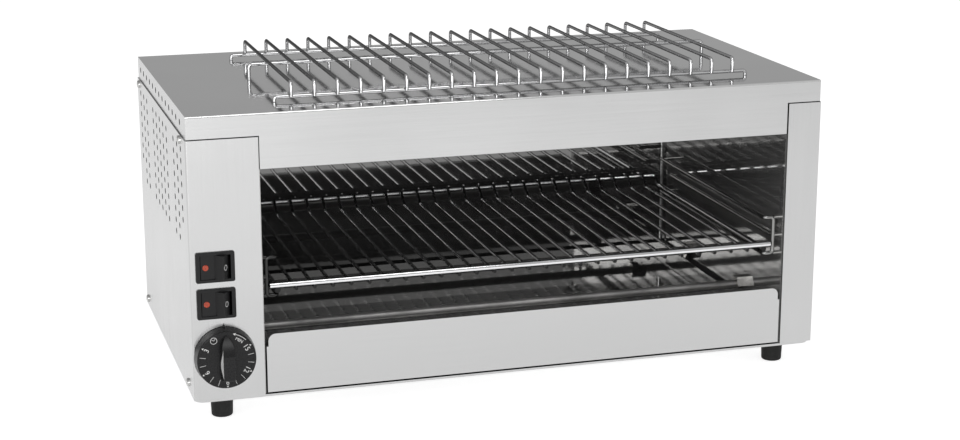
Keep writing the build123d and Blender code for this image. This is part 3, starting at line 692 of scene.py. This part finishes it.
rods = wires(
    "rack_rods", [[(first_x, tip_y, rack_z), (first_x, rack_bend, rack_z), (first_x, rod_y, rod_z)]],
    rod_wire, rod_radius, rack_rods, (pitch, 0, 0),
)
rack_frame = wires(
    "rack_frame",
    [[(left, tip_y, rack_z), (left, bend_y, rack_z), (left, rear_y, rear_z),
      (right, rear_y, rear_z), (right, bend_y, rack_z), (right, tip_y, rack_z)]],
    frame_wire, rod_radius,
)
bar_ends = [(opening_middle + reach, rack_front, bar_z) for reach in (-bar_half, bar_half)]
bar = wires("rack_bar", [bar_ends], frame_wire, bar_radius)
weld_y, weld_z = rack_front + weld_back, (rack_z + bar_z) / 2
weld_places = [(first_x + i * pitch, weld_y, weld_z) for i in range(rack_rods)]
spots = welds("rack_welds", weld_places, rack_weld)
toasting_rack = as_one("toasting_rack_wires", [rods, rack_frame, bar, spots], rack_chrome, dark_end_finish)
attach(toasting_rack, "toasting_rack")
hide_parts("grill_rack")

# the guides are thinner wire, painted darker as shade, the left one darker than the right
guides = (("rack_guide_left", -1, 0.05), ("rack_guide_right", 1, 0.30))
guide_roughness = (0.1, 0.2)
guide_wire = 0.0035
guide_radius = 0.003
guide_rear = 0.11275
guide_mid_rear = 0.10875
post_reach = opening_half - 0.0045
shelf_reach = opening_half - 0.013
levels = (0.1024, 0.1185, 0.1346)


def guide_steel(name, painted_shade):
    """Wire in a painted darker shade for the dark that it mirrors."""
    material, tree, shader = new_finish(name, (painted_shade, painted_shade, 0.98 * painted_shade), 1.0, 0.14)
    roughen(tree, shader, wire_patches, guide_roughness, wire_detail)
    return material


for name, side, painted_shade in guides:
    wall, post, shelf = [opening_middle + side * reach for reach in (opening_half, post_reach, shelf_reach)]
    low, middle, high = levels
    runs = [
        [(wall, guide_rear, low), (shelf, guide_rear, low), (shelf, rack_front, low), (post, rack_front, low),
         (post, rack_front, high), (shelf, rack_front, high), (shelf, guide_rear, high),
         (wall, guide_rear, high)],
        [(post, rack_front, middle), (post, guide_mid_rear, middle), (wall, guide_mid_rear, middle)],
    ]
    runs += [[(wall, rack_front, z), (post, rack_front, z)] for z in levels]
    guide = wires(name + "_wires", runs, guide_wire, guide_radius)
    guide = as_one(name + "_wire", [guide], guide_steel(name + "_steel", painted_shade), dark_end_finish)
    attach(guide, "cabinet")
    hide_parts(name)


# Warming rack. It stands loose on the cover: twenty-one rods of bright wire, bent down at both ends and
# welded onto two low wires, with one wire under their middle; the wires' own ends are its feet.
top_rods = 21
top_pitch = 0.01927
top_mid = 0.0128
near_y, far_y = -0.09895, 0.10805
top_z = 0.2712
low_z = 0.2592
mid_z = 0.2685
foot_z = 0.2555
touch = 0.0027
low_overhang = 0.0134
mid_overhang = 0.0154
top_radius = 0.003
low_radius = 0.0024
top_weld = (0.0013, 0.0013, 0.0012)

top_half = (top_rods - 1) * top_pitch / 2
first_x = top_mid - top_half
mid_y = (near_y + far_y) / 2


def standing_wire(y, half, level):
    """The corner points of a wire along the rack, bent down to a foot at both ends."""
    return [(top_mid + x, y, z) for x, z in ((-half, foot_z), (-half, level), (half, level), (half, foot_z))]


rods = wires(
    "warming_rods",
    [[(first_x, near_y, low_z), (first_x, near_y, top_z), (first_x, far_y, top_z), (first_x, far_y, low_z)]],
    rod_wire, top_radius, top_rods, (top_pitch, 0, 0),
)
low_runs = [standing_wire(y, top_half + low_overhang, low_z) for y in (near_y + touch, far_y - touch)]
low_wires = wires("warming_low_wires", low_runs, rod_wire, low_radius)
mid_run = standing_wire(mid_y, top_half + mid_overhang, mid_z)
mid_wire = wires("warming_mid_wire", [mid_run], rod_wire, top_radius)
crossings = ((near_y + touch / 2, low_z), (far_y - touch / 2, low_z), (mid_y, (top_z + mid_z) / 2))
places = [(first_x + i * top_pitch, y, z) for i in range(top_rods) for y, z in crossings]
spots = welds("warming_welds", places, top_weld)
warming_rack = as_one("warming_rack_wires", [rods, low_wires, mid_wire, spots], chrome, dark_end_finish)
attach(warming_rack, "warming_rack")
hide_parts("top_rack")


# Rocker switches. Black moulded housings snapped into the pillar, each with a rocker that carries an
# orange-red lens at one end and a white printed nought at the other.
plastic_colour = (0.009, 0.009, 0.0095)
plastic_sheen = 0.3
plastic_clouds = 60
plastic_share = 0.15
lens_colour = (0.70, 0.075, 0.03)
lens_light, lens_dark = (0.62, 0.068, 0.012), (0.26, 0.016, 0.004)
lens_glow = (1.0, 0.12, 0.04)
lens_glow_strength = 0.03
lens_coat = 0.3
lens_facets = 900.0
lens_bump, lens_depth = 0.3, 0.0003
print_colour = (0.86, 0.86, 0.85)
print_dark, print_light = (0.80, 0.80, 0.79), (0.90, 0.90, 0.89)
print_patches = 700
print_thick = 0.00008
rocker_x, rocker_y = -0.2521, -0.13275
rocker_levels = (("upper_rocker", 0.1332), ("lower_rocker", 0.1029))
rocker_tilt = math.radians(8)
facet_top = Vector((0.0070, -0.0108, 0))
facet_foot = Vector((0.0108, -0.0046, 0))
nought_x, nought_z, nought_stroke = 0.0022, 0.0023, 0.00045


def moulding(name, colour, roughness, grain, depth=0.12):
    """Moulded plastic with a fine sparked grain."""
    material, tree, shader = new_finish(name, colour, 0.0, roughness)
    shader.inputs["Specular IOR Level"].default_value = plastic_sheen
    dots = noise_at(tree, grain)
    rough = [share * roughness for share in (1 - plastic_share, 1 + plastic_share)]
    tree.links.new(spread(tree, dots, *rough), shader.inputs["Roughness"])
    clouds = clouded(tree, noise_at(tree, plastic_clouds), colour, plastic_share)
    tree.links.new(clouds, shader.inputs["Base Color"])
    raise_by(tree, shader, dots, depth)
    return material


black_moulding = moulding("black_moulding", plastic_colour, 0.38, 1500.0)
dress(black_moulding, "switch_housing_upper", "switch_housing_lower", "rocker_upper", "rocker_lower")
dress(black_moulding, "cable_gland", "gland_nut")

lens, tree, shader = new_finish("red_lens", lens_colour, 0.0, 0.12)
shader.inputs["Coat Weight"].default_value = lens_coat
shader.inputs["Emission Strength"].default_value = lens_glow_strength
shader.inputs["Emission Color"].default_value = (*lens_glow, 1)
facets = tree.nodes.new("ShaderNodeTexVoronoi")
facets.inputs["Scale"].default_value = lens_facets
place = tree.nodes.new("ShaderNodeTexCoord")
tree.links.new(place.outputs["Object"], facets.inputs["Vector"])
rise = facets.outputs["Distance"]
tree.links.new(shade_of(tree, rise, lens_light, lens_dark), shader.inputs["Base Color"])
raise_by(tree, shader, rise, lens_bump, lens_depth)
dress(lens, "rocker_lens_upper", "rocker_lens_lower")

white_print, tree, shader = new_finish("white_print", print_colour, 0.0, 0.45)
paint = patched(tree, noise_at(tree, print_patches), print_dark, print_light)
tree.links.new(paint, shader.inputs["Base Color"])


def ring_mesh(name, outer_x, outer_z, wall, steps=32):
    """A flat oval ring of print that faces -Y, its back on y = 0."""
    shape = bmesh.new()
    loops = []
    for y in (0.0, -print_thick):
        for inset in (0.0, wall):
            loops.append([
                shape.verts.new(((outer_x - inset) * math.cos(a), y, (outer_z - inset) * math.sin(a)))
                for a in (math.tau * i / steps for i in range(steps))
            ])
    back_out, back_in, front_out, front_in = loops
    for one, two in ((back_out, front_out), (front_out, front_in), (front_in, back_in), (back_in, back_out)):
        for i in range(steps):
            j = (i + 1) % steps
            shape.faces.new((one[i], one[j], two[j], two[i]))
    return closed_mesh(name, shape)


facet_turn = math.atan2(facet_foot.y - facet_top.y, facet_foot.x - facet_top.x)
facet_lay = Matrix.Translation(facet_top.lerp(facet_foot, 0.5)) @ Matrix.Rotation(facet_turn, 4, "Z")
for body, level in rocker_levels:
    mesh = ring_mesh(body + "_nought", nought_x, nought_z, nought_stroke)
    pivot = Matrix.Translation((rocker_x, rocker_y, level))
    mesh.transform(pivot @ Matrix.Rotation(-rocker_tilt, 4, "Z") @ facet_lay)
    nought = object_of(body + "_nought", mesh)
    nought.data.materials.append(white_print)
    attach(nought, body)


# Timer. A clockwork timer behind the pillar turns a black moulded knob, whose dial is printed in white with
# minutes, ticks, a clock face and an arrow; a white strip is set in the side of its grip.
case_colour = (0.30, 0.30, 0.31)
timer_x, timer_z = -0.2468, 0.0582
dial_y = -0.14775
figures = (("15", 60), ("12", 120), ("9", 180), ("6", 240), ("3", 300))
figure_r, figure_size = 0.0184, 0.0059
pointer_half, pointer_in, pointer_out = 0.0009, 0.0216, 0.0230
unit_turn, unit_r, unit_size = 33, 0.0188, 0.0038
tick_turns = (80, 100, 140, 160, 200, 220, 260, 280)
tick_half, tick_in, tick_out = 0.00015, 0.0172, 0.0222
arrow_r, arrow_stroke = 0.0222, 0.0002
arrow_turns = range(18, 48, 3)
head_turn, head_half, head_back, head_tip = 17, 0.0011, 0.0010, -0.0013
clock_turn, clock_at = -31, 0.0198
clock_r, clock_stroke = 0.0028, 0.0004
hand_turns = (-25, 70)
hand_half, hand_length = 0.00018, 0.0021
flank_base, flank_lean = 0.0055, math.radians(4)
strip_edge, strip_reach = 0.0113, 0.0088
strip_low, strip_high = -0.0118, 0.0120
strip_steps, strip_power = 16, 1.5

knob_moulding = moulding("knob_moulding", plastic_colour, 0.28, 1200.0, 0.04)
dress(knob_moulding, "timer_knob")
grey_moulding = moulding("grey_moulding", case_colour, 0.5, 1200.0)
dress(grey_moulding, "timer_body")


def turned_on_dial(turn):
    """The dial's middle, turned clockwise by some degrees."""
    return Matrix.Translation((timer_x, dial_y, timer_z)) @ Matrix.Rotation(math.radians(turn), 4, "Y")


def on_dial(turn):
    """Stands a flat shape in XY on the dial, turned clockwise and facing the front."""
    return turned_on_dial(turn) @ Matrix.Rotation(math.pi / 2, 4, "X")


def written(text, size, turn, radius):
    """Raised figures on the dial, their tops outwards."""
    letters = bpy.data.curves.new(text, "FONT")
    letters.body = text
    letters.size = size
    letters.align_x = "CENTER"
    letters.align_y = "CENTER"
    letters.extrude = print_thick
    letters.resolution_u = 3
    mesh = finished_mesh(object_of(text, letters))
    mesh.transform(on_dial(turn) @ Matrix.Translation((0, radius, 0)))
    return object_of("dial_" + text, mesh)


def flat_shape(name, outline, turn=None):
    """A thin plate of print from its outline in XY, on the dial where a turn is given."""
    shape = bmesh.new()
    face = shape.faces.new([shape.verts.new((x, y, print_thick)) for x, y in outline])
    side = bmesh.ops.extrude_face_region(shape, geom=[face])
    corners = [part for part in side["geom"] if isinstance(part, bmesh.types.BMVert)]
    bmesh.ops.translate(shape, verts=corners, vec=(0, 0, -print_thick))
    mesh = closed_mesh(name, shape)
    if turn is not None:
        mesh.transform(on_dial(turn))
    return object_of(name, mesh)


marks = []
pointer = [(-pointer_half, pointer_in), (pointer_half, pointer_in), (0.0, pointer_out)]
for number, turn in figures:
    marks.append(written(number, figure_size, turn, figure_r))
    marks.append(flat_shape("pointer", pointer, turn))
marks.append(written("MIN", unit_size, unit_turn, unit_r))
tick = [(-tick_half, tick_in), (tick_half, tick_in), (tick_half, tick_out), (-tick_half, tick_out)]
for turn in tick_turns:
    marks.append(flat_shape("tick", tick, turn))
outline = []
for radius, turns in ((arrow_r + arrow_stroke, arrow_turns), (arrow_r - arrow_stroke, reversed(arrow_turns))):
    outline += [(radius * math.sin(math.radians(a)), radius * math.cos(math.radians(a))) for a in turns]
marks.append(flat_shape("arrow_line", outline, 0))
head = [(head_back, arrow_r - head_half), (head_back, arrow_r + head_half), (head_tip, arrow_r)]
marks.append(flat_shape("arrow_head", head, head_turn))
clock = object_of("clock_ring", ring_mesh("clock_ring", clock_r, clock_r, clock_stroke))
clock.data.transform(turned_on_dial(clock_turn) @ Matrix.Translation((0, 0, clock_at)))
marks.append(clock)
for turn in hand_turns:
    a = math.radians(turn)
    foot = Vector((0, clock_at))
    tip = foot + hand_length * Vector((math.sin(a), math.cos(a)))
    side = hand_half * Vector((math.cos(a), -math.sin(a)))
    marks.append(flat_shape("clock_hand", [foot - side, foot + side, tip + side, tip - side], clock_turn))

# the strip lies on the left flank of the grip, its straight edge along the front
outline = [(strip_low, strip_edge), (strip_high, strip_edge)]
for i in range(1, strip_steps):
    share = i / strip_steps
    depth = strip_reach * math.sin(math.pi * share ** strip_power)
    outline.append((strip_high + (strip_low - strip_high) * share, strip_edge - depth))
strip = flat_shape("grip_strip", outline)
strip.data.transform(
    on_dial(0) @ Matrix.Translation((-flank_base, 0, 0)) @ Matrix.Rotation(flank_lean, 4, "Y")
    @ Matrix(((0, 0, -1, 0), (1, 0, 0, 0), (0, 1, 0, 0), (0, 0, 0, 1)))
)
marks.append(strip)
dial_print = as_one("dial_print", marks, white_print)
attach(dial_print, "knob")


# Pillar mark. A small raised wedge of black plastic above the dial shows the time set. It is fixed to the
# pillar, so the knob turns past it.
mark_rise = 0.0254
mark_corners = (
    (-0.0011, 0.0, 0.0), (0.0011, 0.0, 0.0), (0.0, 0.0, 0.0024),
    (-0.0007, -0.0009, 0.0003), (0.0007, -0.0009, 0.0003), (0.0, -0.0009, 0.0018),
)
mark_faces = ((0, 1, 2), (3, 5, 4), (0, 3, 4, 1), (1, 4, 5, 2), (2, 5, 3, 0))

shape = bmesh.new()
verts = [shape.verts.new((timer_x + x, front_y + y, timer_z + mark_rise + z)) for x, y, z in mark_corners]
for face in mark_faces:
    shape.faces.new([verts[i] for i in face])
mesh = closed_mesh("timer_mark", shape)
mesh.materials.append(knob_moulding)
mark = object_of("timer_mark", mesh)
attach(mark, "cabinet")


# Rubber feet and terminal block. The machine stands on four turned feet of matt black rubber, and the mains
# wires end in a moulded white block inside, low at the rear left.
rubber_colour = (0.018, 0.018, 0.018)
block_colour = (0.75, 0.74, 0.70)

rubber = moulding("black_rubber", rubber_colour, 0.65, 800.0)
dress(rubber, "foot_front_left", "foot_front_right", "foot_rear_left", "foot_rear_right")
white_moulding = moulding("white_moulding", block_colour, 0.4, 800.0)
dress(white_moulding, "terminal_block")


# Studio. A pale floor that is seen and mirrored at set strengths, four soft lamps in a pale room, and the
# camera at the photograph's place.
floor_half = 12.0
floor_colour = (0.8, 0.8, 0.8)
floor_seen = 0.72
floor_mirrored = 0.52
room_light = 0.42
lamps = (
    ("key", (-1.1, -1.3, 1.1), (-0.1, -0.3, 0.0), 1.0, 0.8, 4.6),
    ("front", (-0.58, -1.76, 0.36), (0.0, 0.1, 0.16), 0.75, 0.6, 6.0),
    ("fill", (1.7, -1.6, 1.3), (0, 0, 0.1), 1.2, 1.2, 1.0),
    ("top", (0.15, -1.15, 2.0), (0, 0, 0.1), 0.9, 0.6, 6),
)
picture_width = 960
focal_length = 1966.3
sensor_width = 36
camera_place = (-0.4847, -1.6329, 0.5655)
camera_down, camera_turn = 14.719, 16.820

mesh = bpy.data.meshes.new("floor")
corners = [(x * floor_half, y * floor_half, 0) for x, y in ((-1, -1), (1, -1), (1, 1), (-1, 1))]
mesh.from_pydata(corners, [], [(0, 1, 2, 3)])
floor = object_of("floor", mesh)
pale_floor, tree, shader = new_finish("pale_floor", floor_colour, 0.0, 0.9)
shader.inputs["Specular IOR Level"].default_value = 0.0
path = tree.nodes.new("ShaderNodeLightPath")
reflected = worked(tree, "MAXIMUM", path.outputs["Is Glossy Ray"], path.outputs["Is Transmission Ray"])
mirrored = worked(tree, "MULTIPLY", reflected, floor_mirrored)
strength = worked(tree, "MULTIPLY_ADD", path.outputs["Is Camera Ray"], floor_seen, mirrored)
glow = tree.nodes.new("ShaderNodeEmission")
total = tree.nodes.new("ShaderNodeAddShader")
link_all(
    tree,
    (strength, glow.inputs["Strength"]),
    (shader.outputs["BSDF"], total.inputs[0]),
    (glow.outputs["Emission"], total.inputs[1]),
    (total.outputs["Shader"], tree.nodes["Material Output"].inputs["Surface"]),
)
floor.data.materials.append(pale_floor)

world = bpy.data.worlds.new("studio")
bpy.context.scene.world = world
world.use_nodes = True
background = world.node_tree.nodes["Background"]
background.inputs["Color"].default_value = (1.0, 1.0, 1.0, 1)
background.inputs["Strength"].default_value = room_light

for name, place, target, width, height, power in lamps:
    light = bpy.data.lights.new(name, "AREA")
    light.shape = "RECTANGLE"
    light.size = width
    light.size_y = height
    light.energy = power
    lamp = object_of(name, light)
    lamp.location = place
    lamp.rotation_euler = (Vector(target) - Vector(place)).to_track_quat("-Z", "Y").to_euler()

camera_data = bpy.data.cameras.new("camera")
camera_data.lens = focal_length * sensor_width / picture_width
camera_data.sensor_width = sensor_width
camera = object_of("camera", camera_data)
camera.location = camera_place
camera.rotation_euler = (math.radians(90 - camera_down), 0, -math.radians(camera_turn))
bpy.context.scene.camera = camera
bpy.context.scene.view_settings.view_transform = "Standard"
